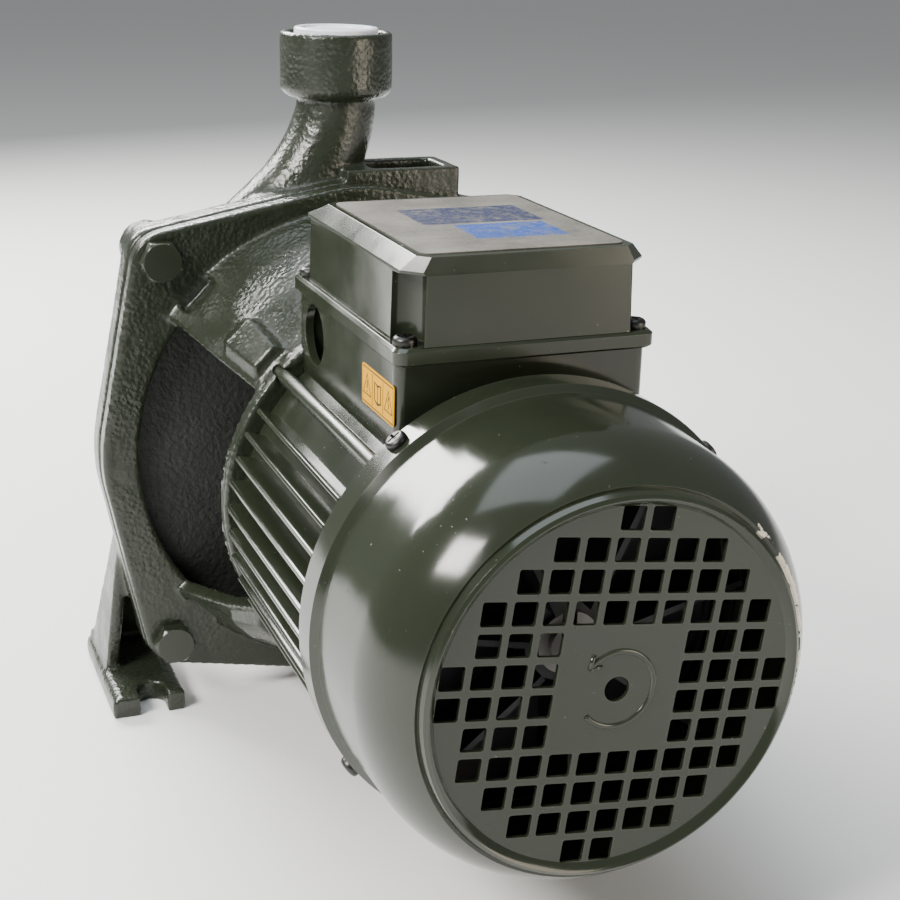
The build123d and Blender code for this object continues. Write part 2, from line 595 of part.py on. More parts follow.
def fan_cover():
    """Pressed sheet cover: strip, rounded shoulder, rim bead and pierced face."""
    outer = cover_line(0, 0)
    inner = cover_line(SHEET_T, SHEET_T)
    ends = Line(outer @ 0, inner @ 0) + Line(outer @ 1, inner @ 1)
    shell = Pos(0, 0, H) * revolve(make_face(outer + inner + ends), Axis.Y, 360)
    holes = across(Pos(0, H) * Rot(0, 0, COVER_TURN_DEG) * grille_holes(), 230, 242)
    screw_holes = around(rod((60, COVER_SCREW_Y, H), (70, COVER_SCREW_Y, H), 1.8), COVER_SCREW_DEG)
    return shell.cut(holes, *screw_holes)


def fan_cover_screws():
    """Four pan-head screws through the strip into the end shield."""
    y = COVER_SCREW_Y
    head = rod((STRIP_R, y, H), (STRIP_R + 2.0, y, H), 3.2)
    head = fillet(head.edges().filter_by(GeomType.CIRCLE).sort_by(Axis.X)[-1], 1.2)
    shank = rod((58, y, H), (STRIP_R + 0.1, y, H), 1.55)
    cross = slab(STRIP_R + 1.2, STRIP_R + 3, y - 0.4, y + 0.4, H - 2, H + 2)
    cross += slab(STRIP_R + 1.2, STRIP_R + 3, y - 2, y + 2, H - 0.4, H + 0.4)
    return Compound(children=around(head.fuse(shank) - cross, COVER_SCREW_DEG))


# ---- terminal box --------------------------------------------------------------------------
SCREW_X, SCREW_Y0, SCREW_Y1 = 34.4, 82.6, 170.0


def terminal_box():
    """Open-topped base, saddled on the barrel, with the cable entry in its +X side."""
    solid = slab(-BOX_X, BOX_X, BOX_Y0, BOX_Y1, BOX_Z0, BOX_Z1)
    solid = fillet(solid.edges().filter_by(Axis.Z), 3.0)
    saddle = disc(BARREL_R + 0.1, BOX_Y0 - 5, BOX_Y1 + 5)
    front_saddle = disc(RING_R + 0.3, BOX_Y0 - 5, BARREL_Y0)
    cavity = slab(-BOX_X + BOX_WALL, BOX_X - BOX_WALL, BARREL_Y0 + 1.4, BOX_Y1 - BOX_WALL, 130, BOX_Z1 + 5)
    cavity -= disc(BOX_FLOOR_R, BOX_Y0, BOX_Y1 + 5)
    posts = [slab(s * SCREW_X - 3.2, s * SCREW_X + 3.4, y - 3.4, y + 3.4, BOX_Z0 + 2, BOX_Z1)
             for s in (-1, 1) for y in (SCREW_Y0, SCREW_Y1)]
    outer = slab(-BOX_X, BOX_X, BOX_Y0, BOX_Y1, BOX_Z0, BOX_Z1)
    cavity -= joined(posts) & outer
    cable = rod((BOX_X - BOX_WALL - 1, CABLE_HOLE_Y, CABLE_HOLE_Z),
                (BOX_X + 5, CABLE_HOLE_Y, CABLE_HOLE_Z), CABLE_HOLE_R)
    leads = slab(-8, 8, 109, 125, H + 50, H + 68)
    screws = [Pos(s * SCREW_X, y, BOX_Z1 - 5) * Cylinder(1.6, 12)
              for s in (-1, 1) for y in (SCREW_Y0, SCREW_Y1)]
    return solid.cut(saddle, front_saddle, cavity, cable, leads, *screws)


def box_gasket():
    outer = slab(-BOX_X + 0.5, BOX_X - 0.5, BOX_Y0 + 0.5, BOX_Y1 - 0.5, BOX_Z1, LID_Z0)
    inner = slab(-BOX_X + 8, BOX_X - 8, BOX_Y0 + 9, BOX_Y1 - 8, BOX_Z1 - 1, LID_Z0 + 1)
    holes = [Pos(s * SCREW_X, y, LID_Z0) * Cylinder(1.75, 6) for s in (-1, 1) for y in (SCREW_Y0, SCREW_Y1)]
    return outer.cut(inner, *holes)


def lid_form(inset, z0, top):
    """The lid's raised body: upright walls and a bevel up to the top."""
    shoulder = top - 4.1
    low = quad(z0, -36.6 + inset, 36.6 - inset, 79.4 + inset, 175.0 - inset)
    mid = quad(shoulder, -36.2 + inset, 36.2 - inset, 80.4 + inset, 174.8 - inset)
    high = quad(top, -32.0 + inset, 32.0 - inset, 90.2 + inset, 173.4 - inset)
    return loft([low, mid], ruled=True).fuse(loft([mid, high], ruled=True))


def terminal_lid():
    """Cover of the terminal box: lip, hollowed corners for the screws, bevelled top."""
    lip = slab(-LIP_X, LIP_X, LIP_Y0, LIP_Y1, LID_Z0, LIP_Z1)
    lip = fillet(lip.edges().filter_by(Axis.Z), 3.5)
    lip = fillet(lip.faces().sort_by(Axis.Z)[-1].edges(), 0.8)
    form = lid_form(0, LIP_Z1 - 1, LID_Z1)
    hollow = lid_form(2.4, LID_Z0 - 1, LID_Z1 - 2.4)
    at = [(s * SCREW_X, y) for s in (-1, 1) for y in (SCREW_Y0, SCREW_Y1)]
    corners = [Pos(x * 1.03, y, (LIP_Z1 + LID_Z1) / 2 + 2) * Cylinder(6.2, LID_Z1 - LIP_Z1 + 4)
               for x, y in at]
    walls = [Pos(x * 1.03, y, (LID_Z0 + LID_Z1) / 2 - 1) * Cylinder(8.4, LID_Z1 - LID_Z0 + 2)
             for x, y in at]
    screws = [Pos(x, y, LIP_Z1) * Cylinder(1.9, 30) for x, y in at]
    return lip.fuse(form.cut(*corners)).cut(hollow.cut(*walls), *screws)


def lid_screws():
    shapes = []
    for s in (-1, 1):
        for y in (SCREW_Y0, SCREW_Y1):
            head = Pos(s * SCREW_X, y, LIP_Z1 + 1.3) * Cylinder(3.4, 2.6)
            head = fillet(head.edges().filter_by(GeomType.CIRCLE).sort_by(Axis.Z)[-1], 1.4)
            shank = Pos(s * SCREW_X, y, LIP_Z1 - 4.5) * Cylinder(1.55, 10)
            cross = Pos(s * SCREW_X, y, LIP_Z1 + 2.4) * (Box(4, 0.8, 1.6) + Box(0.8, 4, 1.6))
            shapes.append(head.fuse(shank) - cross)
    return Compound(children=shapes)


BOARD_Z = 161.0


def terminal_block():
    """Moulded board with raised barriers between the terminals."""
    board = slab(-26, 2, 132, 162, BOARD_Z, BOARD_Z + 4)
    feet = [slab(x - 2.5, x + 2.5, 133, 161, H + BOX_FLOOR_R - 6, BOARD_Z) for x in (-22, -2)]
    barriers = [slab(-25, 1, y - 0.8, y + 0.8, BOARD_Z + 3, BOARD_Z + 9) for y in (139.5, 147, 154.5)]
    shapes = joined([board, *feet, *barriers])
    posts = [Pos(x, y, BOARD_Z + 2) * Cylinder(2.05, 10)
             for x in (-19, -5) for y in (136, 143.2, 150.8, 158)]
    return (shapes - disc(BOX_FLOOR_R + 0.05, 120, 170)).cut(*posts)


def terminal_studs():
    """Brass studs with their nuts, two rows of four."""
    shapes = []
    for x in (-19, -5):
        for y in (136, 143.2, 150.8, 158):
            stud = Pos(x, y, BOARD_Z + 6.2) * Cylinder(2.0, 11.5)
            nut = Pos(x, y, BOARD_Z + 4) * extrude(RegularPolygon(2.7, 6, major_radius=False), 2.6)
            shapes.append(stud.fuse(nut))
    return Compound(children=shapes)


CAPACITOR_X, CAPACITOR_Z, CAPACITOR_R = 18.0, 177.5, 11.6


def capacitor():
    """Round motor capacitor, lying under the lid beside the terminal block."""
    can = rod((CAPACITOR_X, 112, CAPACITOR_Z), (CAPACITOR_X, 162, CAPACITOR_Z), CAPACITOR_R)
    can = fillet(can.edges().filter_by(GeomType.CIRCLE), 1.5)
    tabs = [slab(x - 0.4, x + 0.4, 106, 113, 174, 180) for x in (CAPACITOR_X - 4.5, CAPACITOR_X + 4.5)]
    return joined([can, *tabs])


def capacitor_clip():
    """Sheet band that holds the capacitor."""
    hoop = Circle(CAPACITOR_R + 0.9) - Circle(CAPACITOR_R + 0.05)
    band = across(Pos(CAPACITOR_X, CAPACITOR_Z) * hoop, 134, 144)
    return band - slab(0, 40, 130, 150, 150, CAPACITOR_Z - 6)


def earth_screw():
    head = Pos(-30.0, 122, 160.4) * Cylinder(3.4, 2.2)
    shank = Pos(-30.0, 122, 156.5) * Cylinder(1.9, 7)
    return head.fuse(shank)


def rating_label():
    """Thin printed plate on the lid."""
    return Pos(0, 131.8, LID_Z1) * extrude(RectangleRounded(60, 78, 3), 0.3)


def warning_label():
    """Thin sticker on the terminal box's +X side."""
    side = Plane(origin=(BOX_X, 158.0, 154.8), x_dir=(0, 1, 0), z_dir=(1, 0, 0))
    return extrude(side * RectangleRounded(27.0, 11.6, 1.2), 0.25)


# ---- write every piece ---------------------------------------------------------------------
front_outer, front_inner = bearing_rings(FRONT_BEARING)
rear_outer, rear_inner = bearing_rings(REAR_BEARING)

PIECES = [
    ("pump_body", pump_body(), PAINT),
    ("body_gasket", body_gasket(), RUBBER),
    ("priming_plug", plug_screw(PRIMING_AT, PLUG_FACE_Y), BRASS),
    ("drain_plug", plug_screw(DRAIN_AT, PLUG_FACE_Y), BRASS),
    ("outlet_plug", outlet_plug(), WHITE),
    ("casing_cover", casing_cover(), PAINT),
    ("seal_seat", seal_seat(), CERAMIC),
    ("seal_rotor", seal_rotor(), DARK),
    ("seal_spring", seal_spring(), STEEL),
    ("impeller", impeller(), BRASS),
    ("impeller_nut", impeller_nut(), STEEL),
    ("impeller_key", impeller_key(), STEEL),
    ("motor_bracket", motor_bracket(), PAINT),
    ("flange_bolts", flange_bolts(), PAINT),
    ("water_slinger", water_slinger(), RUBBER),
    ("shaft", shaft(), STEEL),
    ("front_bearing_outer_ring", front_outer, STEEL),
    ("front_bearing_inner_ring", front_inner, STEEL),
    ("front_bearing_balls", bearing_balls(FRONT_BEARING), STEEL),
    ("front_bearing_cage", bearing_cage(FRONT_BEARING), STEEL),
    ("rear_bearing_outer_ring", rear_outer, STEEL),
    ("rear_bearing_inner_ring", rear_inner, STEEL),
    ("rear_bearing_balls", bearing_balls(REAR_BEARING), STEEL),
    ("rear_bearing_cage", bearing_cage(REAR_BEARING), STEEL),
    ("rotor_core", rotor_core(), STEEL),
    ("rotor_end_rings", rotor_end_rings(), STEEL),
    ("stator_core", stator_core(), STEEL),
    ("stator_windings", stator_windings(), COPPER),
    ("motor_housing", motor_housing(), PAINT),
    ("tie_rods", tie_rods(), PAINT),
    ("tie_rod_nuts", tie_rod_nuts(), STEEL),
    ("rear_shield", rear_shield(), PAINT),
    ("wave_washer", wave_washer(), STEEL),
    ("fan", fan(), DARK),
    ("fan_clip", fan_clip(), STEEL),
    ("fan_cover", fan_cover(), PAINT),
    ("fan_cover_screws", fan_cover_screws(), DARK),
    ("terminal_box", terminal_box(), PAINT),
    ("box_gasket", box_gasket(), RUBBER),
    ("terminal_lid", terminal_lid(), PAINT),
    ("lid_screws", lid_screws(), DARK),
    ("terminal_block", terminal_block(), DARK),
    ("terminal_studs", terminal_studs(), BRASS),
    ("capacitor", capacitor(), WHITE),
    ("capacitor_clip", capacitor_clip(), STEEL),
    ("earth_screw", earth_screw(), BRASS),
    ("rating_label", rating_label(), STEEL),
    ("warning_label", warning_label(), YELLOW),
]

for name, shape, colour in PIECES:
    save(name, shape, colour)
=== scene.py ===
"""Looks of the centrifugal water pump: materials, cast and pressed surfaces, lid, labels, threads and marks.

Metres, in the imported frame: +Y along the shaft from suction port to fan, +Z up, floor at z = 0.
"""

import json
from math import atan2, cos, pi, radians, sin, tau

import bmesh
import bpy
from mathutils import Matrix, Vector


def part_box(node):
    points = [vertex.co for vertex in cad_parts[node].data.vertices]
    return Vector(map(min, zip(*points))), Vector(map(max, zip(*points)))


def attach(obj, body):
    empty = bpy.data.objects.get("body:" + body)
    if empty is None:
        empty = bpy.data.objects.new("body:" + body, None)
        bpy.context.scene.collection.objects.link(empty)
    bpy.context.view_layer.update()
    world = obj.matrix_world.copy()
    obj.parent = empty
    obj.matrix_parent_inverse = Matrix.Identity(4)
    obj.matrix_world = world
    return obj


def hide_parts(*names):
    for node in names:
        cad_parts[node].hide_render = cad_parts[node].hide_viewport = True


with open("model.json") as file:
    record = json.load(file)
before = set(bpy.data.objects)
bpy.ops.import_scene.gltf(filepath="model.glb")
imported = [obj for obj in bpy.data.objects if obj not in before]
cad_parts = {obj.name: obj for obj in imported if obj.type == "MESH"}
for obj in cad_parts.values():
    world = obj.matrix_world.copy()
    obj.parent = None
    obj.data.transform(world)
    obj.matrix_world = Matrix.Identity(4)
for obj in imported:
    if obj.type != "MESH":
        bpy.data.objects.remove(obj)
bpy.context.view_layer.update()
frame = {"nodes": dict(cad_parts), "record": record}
nodes = frame["nodes"]
record = frame["record"]

MM = 0.001
MOUNTS = {mount["name"]: mount for mount in record["mounts"]}
SHAFT_Z = MOUNTS["suction_port"]["pos_m"][2]


# ---- camera, floor and lights -------------------------------------------------------------------
def camera():
    """Camera behind the fan cover, on its +X side and a little above the pump."""
    azimuth, elevation, roll = 0.381, 0.329, 0.025
    forward = Vector((-sin(azimuth) * cos(elevation), -cos(azimuth) * cos(elevation), -sin(elevation)))
    right = forward.cross(Vector((0, 0, 1))).normalized()
    up = right.cross(forward)
    across = cos(roll) * right + sin(roll) * up
    above = -sin(roll) * right + cos(roll) * up
    data = bpy.data.cameras.new("camera")
    data.lens, data.sensor_width = 64.17, 36.0
    holder = bpy.data.objects.new("camera", data)
    turn = Matrix((across, above, -forward)).transposed().to_4x4()
    holder.matrix_world = Matrix.Translation((0.17707, 0.46308, 0.28422)) @ turn
    bpy.context.scene.collection.objects.link(holder)
    bpy.context.scene.camera = holder


def area_light(name, place, target, width, height, power, colour):
    data = bpy.data.lights.new(name, "AREA")
    data.shape, data.size, data.size_y = "RECTANGLE", width, height
    data.energy, data.color = power, colour
    lamp = bpy.data.objects.new(name, data)
    lamp.location = place
    lamp.rotation_euler = (Vector(target) - Vector(place)).to_track_quat("-Z", "Y").to_euler()
    bpy.context.scene.collection.objects.link(lamp)


def studio():
    middle = (0, 0, 0.11)
    area_light("key", (0.80, 0.30, 0.80), middle, 0.42, 0.30, 20, (1.0, 0.97, 0.92))
    area_light("back", (0.30, -0.95, 0.75), middle, 0.9, 0.35, 34, (1.0, 0.98, 0.95))
    area_light("sky", (0.1, -0.1, 1.4), middle, 1.0, 1.0, 12, (0.86, 0.93, 1.0))
    area_light("fill", (-0.8, 0.95, 0.3), middle, 0.6, 0.6, 7, (1.0, 0.88, 0.70))
    world = bpy.data.worlds.new("studio")
    world.use_nodes = True
    background = world.node_tree.nodes["Background"]
    background.inputs["Color"].default_value = (0.80, 0.83, 0.85, 1)
    background.inputs["Strength"].default_value = 0.33
    bpy.context.scene.world = world


def floor():
    mesh = bpy.data.meshes.new("floor")
    reach = 6.0
    corners = [(-reach, -reach, 0), (reach, -reach, 0), (reach, reach, 0), (-reach, reach, 0)]
    mesh.from_pydata(corners, [], [(0, 1, 2, 3)])
    plane = bpy.data.objects.new("floor", mesh)
    bpy.context.scene.collection.objects.link(plane)
    shader = Shader("floor_paper")
    shader.set(Roughness=0.75)
    shader.bsdf.inputs["Base Color"].default_value = (0.86, 0.86, 0.85, 1)
    mesh.materials.append(shader.material)


# ---- materials ----------------------------------------------------------------------------------
class Shader:
    """A material's node tree with short ways to add and link its nodes."""

    def __init__(self, name):
        self.material = bpy.data.materials.new(name)
        self.material.use_nodes = True
        self.tree = self.material.node_tree
        self.bsdf = self.tree.nodes["Principled BSDF"]
        self.place = self.tree.nodes.new("ShaderNodeTexCoord").outputs["Object"]

    def node(self, kind, settings=None, **inputs):
        made = self.tree.nodes.new("ShaderNode" + kind)
        for key, value in (settings or {}).items():
            setattr(made, key, value)
        for key, value in inputs.items():
            self.feed(made.inputs[key.replace("_", " ")], value)
        return made

    def feed(self, socket, value):
        if isinstance(value, bpy.types.NodeSocket):
            self.tree.links.new(value, socket)
        else:
            socket.default_value = value

    def set(self, **inputs):
        for key, value in inputs.items():
            self.feed(self.bsdf.inputs[key.replace("_", " ")], value)

    def math(self, operation, a, b=0.0):
        made = self.node("Math", {"operation": operation})
        self.feed(made.inputs[0], a)
        self.feed(made.inputs[1], b)
        return made.outputs[0]

    def noise(self, scale, detail=3.0, rough=0.5, place=None):
        made = self.node("TexNoise", Scale=scale, Detail=detail, Roughness=rough, Vector=place or self.place)
        return made.outputs["Fac"]

    def ramp(self, value, low, high, to_low=0.0, to_high=1.0):
        """value between low and high, carried to to_low and to_high and held outside them."""
        made = self.node("MapRange", Value=value)
        for key, number in zip(("From Min", "From Max", "To Min", "To Max"), (low, high, to_low, to_high)):
            made.inputs[key].default_value = number
        return made.outputs[0]

    def mix(self, share, a, b):
        """Colour a where share is 0 and colour b where it is 1."""
        made = self.node("Mix", {"data_type": "RGBA"})
        for socket, value in ((made.inputs[0], share), (made.inputs[6], a), (made.inputs[7], b)):
            self.feed(socket, (*value, 1) if isinstance(value, tuple) else value)
        return made.outputs[2]

    def edges(self, reach):
        """1 on outside edges that are sharper than reach, 0 on flat ground."""
        soft = self.node("Bevel", {"samples": 4}, Radius=reach)
        plain = self.node("NewGeometry")
        turn = self.node("VectorMath", {"operation": "DOT_PRODUCT"})
        self.feed(turn.inputs[0], soft.outputs[0])
        self.feed(turn.inputs[1], plain.outputs["Normal"])
        return self.ramp(turn.outputs["Value"], 0.995, 0.90)

    def bump(self, *layers):
        """Stack height fields, each (height, strength, distance), and feed the normal."""
        normal = None
        for height, strength, distance in layers:
            made = self.node("Bump", Height=height, Strength=strength, Distance=distance)
            if normal is not None:
                self.feed(made.inputs["Normal"], normal)
            normal = made.outputs[0]
        self.set(Normal=normal)


PAINT = (0.016, 0.020, 0.012)
PAINT_LIGHT = (0.044, 0.048, 0.032)
# pale primer for chipped edges; on the fan cover's rim it is also the colour of a painted highlight
PRIMER_AND_HIGHLIGHT = (0.72, 0.66, 0.54)
DUST = (0.35, 0.34, 0.28)


def paint_colour(shader, edge_reach, wear):
    """Olive paint with soft patches, dust specks and thinned, chipped edges: the colour and its chips."""
    patches = shader.ramp(shader.noise(22.0, 4), 0.35, 0.7)
    colour = shader.mix(patches, PAINT, tuple(c * 1.22 for c in PAINT))
    edge = shader.edges(edge_reach)
    thin = shader.math("MULTIPLY", edge, shader.ramp(shader.noise(160.0, 3), 0.3, 0.75, 0.1, 0.8))
    colour = shader.mix(thin, colour, PAINT_LIGHT)
    chips = shader.math("MULTIPLY", edge, shader.ramp(shader.noise(420.0, 3), 0.74 - wear, 0.76 - wear))
    colour = shader.mix(chips, colour, PRIMER_AND_HIGHLIGHT)
    specks = shader.ramp(shader.noise(1300.0, 1), 0.80, 0.83)
    return shader.mix(shader.math("MULTIPLY", specks, 0.55), colour, DUST), chips


def cast_paint():
    """Thick gloss paint over a sand casting: pebbly, with pinholes."""
    shader = Shader("cast_paint")
    colour, chips = paint_colour(shader, 1.2 * MM, 0.02)
    pebbles = shader.node("TexVoronoi", {"feature": "SMOOTH_F1"},
                          Scale=620.0, Vector=shader.place, Smoothness=0.6)
    grit = shader.noise(1500.0, 2)
    lumps = shader.noise(230.0, 3)
    rough_ground = shader.ramp(shader.noise(38.0, 2), 0.38, 0.62, 0.35, 1.0)
    height = shader.math("ADD", shader.math("MULTIPLY", pebbles.outputs["Distance"], 0.9),
                         shader.math("MULTIPLY", grit, 0.35))
    height = shader.math("MULTIPLY", height, rough_ground)
    shader.set(Base_Color=colour, Roughness=shader.ramp(shader.noise(90.0, 3), 0.3, 0.7, 0.20, 0.36))
    shader.bump((lumps, 0.5, 0.5 * MM), (height, 0.65, 0.42 * MM), (chips, 0.4, -0.1 * MM))
    return shader.material


def smooth_paint(name, rough_low, rough_high, wear):
    """Gloss paint over smooth metal, with orange peel and a few dust nibs."""
    shader = Shader(name)
    colour, chips = paint_colour(shader, 0.8 * MM, wear)
    peel = shader.noise(260.0, 2)
    waves = shader.noise(28.0, 2)
    nibs = shader.ramp(shader.noise(700.0, 1), 0.77, 0.82)
    shader.set(Base_Color=colour,
               Roughness=shader.ramp(shader.noise(60.0, 4), 0.3, 0.7, rough_low, rough_high))
    shader.bump((waves, 0.2, 0.5 * MM), (peel, 0.08, 0.04 * MM), (nibs, 0.5, 0.12 * MM),
                (chips, 0.4, -0.08 * MM))
    return shader.material


def fan_cover_paint():
    """The cover's gloss paint, with a pale painted highlight on the rear of the rim's bead, on the -X side
    from just below shaft height to about 60 degrees up: ragged, rougher and sunk a little.
    """
    shader = Shader("fan_cover_paint")
    colour, _ = paint_colour(shader, 0.8 * MM, 0.01)
    apart = shader.node("SeparateXYZ", Vector=shader.place)
    sideways = apart.outputs["X"]
    height = shader.math("SUBTRACT", apart.outputs["Z"], SHAFT_Z)
    radius = shader.math("SQRT", shader.math("ADD", shader.math("MULTIPLY", sideways, sideways),
                                             shader.math("MULTIPLY", height, height)))
    angle = shader.math("ARCTAN2", height, shader.math("MULTIPLY", sideways, -1.0))
    along = shader.math("MULTIPLY", shader.ramp(angle, radians(-24), radians(-10)),
                        shader.ramp(angle, radians(62), radians(36)))
    # radii of the bead band that carries the painted highlight
    low, high = HIGHLIGHT_RING
    band = shader.math("MULTIPLY", shader.ramp(radius, low - 0.4 * MM, low + 0.5 * MM),
                       shader.ramp(radius, high + 1.6 * MM, high))
    rear = shader.ramp(apart.outputs["Y"], RIM_Y - 6 * MM, RIM_Y - 3.5 * MM)
    zone = shader.math("MULTIPLY", shader.math("MULTIPLY", along, band), rear)
    # ragged edge of the painted highlight
    ragged = shader.math("ADD", shader.noise(230.0, 4, 0.7), shader.math("MULTIPLY", zone, 0.42))
    painted_highlight = shader.math("MULTIPLY", shader.ramp(ragged, 0.86, 0.875), shader.ramp(zone, 0.02, 0.06))
    # mix the pale painted highlight, primer to cream, into the paint colour
    colour = shader.mix(painted_highlight, colour, shader.mix(shader.noise(500.0, 2), PRIMER_AND_HIGHLIGHT, (0.86, 0.80, 0.68)))
    rough = shader.ramp(shader.noise(60.0, 4), 0.3, 0.7, 0.10, 0.19)
    shader.set(Base_Color=colour, Roughness=shader.math("ADD", rough, shader.math("MULTIPLY", painted_highlight, 0.5)))
    peel = shader.noise(260.0, 2)
    nibs = shader.ramp(shader.noise(700.0, 1), 0.77, 0.82)
    waves = shader.noise(24.0, 2)
    shader.bump((waves, 0.25, 0.6 * MM), (peel, 0.12, 0.08 * MM), (nibs, 0.5, 0.12 * MM),
                (painted_highlight, 0.6, -0.15 * MM))
    return shader.material


def bare_metal(name, colour, rough, grain):
    """Machined or plated metal: fine grain, cloudy tone, worn bright edges."""
    shader = Shader(name)
    dark = tuple(c * 0.78 for c in colour)
    tone = shader.mix(shader.ramp(shader.noise(70.0, 4), 0.3, 0.7), dark, colour)
    bright = tuple(min(1.0, c * 1.25) for c in colour)
    tone = shader.mix(shader.math("MULTIPLY", shader.edges(0.4 * MM), 0.6), tone, bright)
    shader.set(Base_Color=tone, Metallic=1.0,
               Roughness=shader.ramp(shader.noise(300.0, 3), 0.3, 0.7, rough, rough + 0.14))
    shader.bump((shader.noise(grain, 3), 0.2, 0.05 * MM))
    return shader.material


def moulding(name, colour, rough, grain, strength=0.2, depth=0.06):
    """Moulded plastic, rubber, ceramic or raw casting: faint clouds and fine grain, depth in millimetres."""
    shader = Shader(name)
    light = tuple(min(1.0, c * 1.15 + 0.01) for c in colour)
    tone = shader.mix(shader.ramp(shader.noise(45.0, 3), 0.3, 0.7), colour, light)
    shader.set(Base_Color=tone, Roughness=shader.ramp(shader.noise(120.0, 3), 0.3, 0.7, rough, rough + 0.12))
    shader.bump((shader.noise(grain, 2), strength, depth * MM))
    return shader.material


def transit_plastic():
    """Milky plug: slightly see-through polyethylene with scuffs."""
    shader = Shader("transit_plastic")
    scuffs = shader.ramp(shader.noise(350.0, 5, 0.7), 0.55, 0.7)
    shader.set(Base_Color=shader.mix(scuffs, (0.80, 0.86, 0.94), (0.93, 0.95, 0.98)),
               Roughness=shader.ramp(scuffs, 0, 1, 0.22, 0.4))
    shader.bsdf.inputs["Subsurface Weight"].default_value = 0.25
    shader.bsdf.inputs["Subsurface Scale"].default_value = 2 * MM
    shader.bump((shader.noise(90.0, 2), 0.3, 0.15 * MM))
    return shader.material


def stacked_sheets():
    """Edges of punched electrical sheets, 0.5 mm each along the shaft."""
    shader = Shader("laminations")
    apart = shader.node("SeparateXYZ", Vector=shader.place)
    wave = shader.math("SINE", shader.math("MULTIPLY", apart.outputs["Y"], tau / (0.5 * MM)))
    line = shader.ramp(wave, -0.9, -0.5)
    tone = shader.mix(line, (0.05, 0.05, 0.055), (0.24, 0.24, 0.25))
    shader.set(Base_Color=shader.mix(shader.noise(55.0, 3), tone, (0.30, 0.25, 0.20)),
               Metallic=0.8, Roughness=0.42)
    shader.bump((line, 0.4, 0.1 * MM))
    return shader.material


def varnished_wire():
    """Enamelled copper wire under amber varnish."""
    shader = Shader("copper_wire")
    wires = shader.node("TexWave", {"bands_direction": "DIAGONAL"},
                        Scale=1100.0, Distortion=3.0, Vector=shader.place)
    tone = shader.mix(wires.outputs["Fac"], (0.28, 0.08, 0.03), (0.72, 0.30, 0.12))
    shader.set(Base_Color=shader.mix(shader.ramp(shader.noise(80.0, 3), 0.5, 0.8), tone, (0.35, 0.18, 0.05)),
               Metallic=0.6, Roughness=shader.ramp(shader.noise(150.0, 2), 0.3, 0.7, 0.18, 0.35))
    shader.bump((wires.outputs["Fac"], 0.6, 0.3 * MM))
    return shader.material


def rating_plate():
    """Silver film, rubbed and dusty, with blue panels and faint generic table lines."""
    shader = Shader("rating_plate")
    apart = shader.node("SeparateXYZ", Vector=shader.place)
    x, y = apart.outputs["X"], apart.outputs["Y"]

    def inside(low_x, high_x, low_y, high_y):
        across = shader.math("MULTIPLY", shader.math("GREATER_THAN", x, low_x * MM),
                             shader.math("LESS_THAN", x, high_x * MM))
        along = shader.math("MULTIPLY", shader.math("GREATER_THAN", y, low_y * MM),
                            shader.math("LESS_THAN", y, high_y * MM))
        return shader.math("MULTIPLY", across, along)

    tone = shader.mix(shader.ramp(shader.noise(60.0, 4), 0.3, 0.7), (0.085, 0.080, 0.070), (0.17, 0.16, 0.14))
    rows = shader.math("LESS_THAN", shader.math("FRACT", shader.math("MULTIPLY", y, 1 / (5.5 * MM))), 0.09)
    rows = shader.math("MULTIPLY", rows, inside(-26, 26, LABEL_MID + 8, LABEL_MID + 34))
    tone = shader.mix(shader.math("MULTIPLY", rows, 0.55), tone, (0.07, 0.07, 0.09))
    worn = shader.ramp(shader.noise(240.0, 5, 0.75), 0.30, 0.52)
    navy = shader.math("MULTIPLY", inside(-22, 16, LABEL_MID - 22, LABEL_MID + 2), worn)
    sky = shader.math("MULTIPLY", inside(-20, 8, LABEL_MID + 4, LABEL_MID + 24), worn)
    tone = shader.mix(navy, tone, (0.002, 0.010, 0.055))
    tone = shader.mix(sky, tone, (0.003, 0.050, 0.26))
    dust = shader.ramp(shader.noise(1500.0, 2, 0.6), 0.52, 0.66, 0.0, 0.30)
    tone = shader.mix(dust, tone, (0.26, 0.25, 0.22))
    shader.set(Base_Color=tone, Metallic=0.1,
               Roughness=shader.ramp(shader.noise(200.0, 4), 0.3, 0.7, 0.5, 0.72))
    shader.bsdf.inputs["Specular IOR Level"].default_value = 0.25
    shader.bump((shader.noise(900.0, 3), 0.35, 0.08 * MM))
    return shader.material


def sticker(name, colour):
    """Printed vinyl in one colour, a little rubbed."""
    shader = Shader(name)
    rubbed = shader.ramp(shader.noise(500.0, 4, 0.7), 0.62, 0.75)
    shader.set(Base_Color=shader.mix(rubbed, colour, tuple(c * 0.72 for c in colour)),
               Roughness=shader.ramp(shader.noise(200.0, 3), 0.3, 0.7, 0.5, 0.62))
    shader.bsdf.inputs["Specular IOR Level"].default_value = 0.15
    shader.bump((shader.noise(180.0, 2), 0.15, 0.08 * MM))
    return shader.material


# ---- mesh helpers -------------------------------------------------------------------------------
def piece(name, mesh, slot, material, body="pump", *stands_for):
    """Object made from mesh, riding on body, in place of the CAD nodes named last."""
    made = bpy.data.objects.new(name, mesh)
    bpy.context.scene.collection.objects.link(made)
    mesh.materials.clear()
    mesh.materials.append(material)
    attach(made, body)
    if stands_for:
        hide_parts(*stands_for)
    return made


def mesh_of(name, build):
    """Mesh made by build(bm), with its faces turned outwards and shaded smooth."""
    bm = bmesh.new()
    build(bm)
    bmesh.ops.remove_doubles(bm, verts=bm.verts, dist=1e-6)
    bmesh.ops.recalc_face_normals(bm, faces=bm.faces)
    mesh = bpy.data.meshes.new(name)
    bm.to_mesh(mesh)
    bm.free()
    mesh.polygons.foreach_set("use_smooth", [True] * len(mesh.polygons))
    return mesh


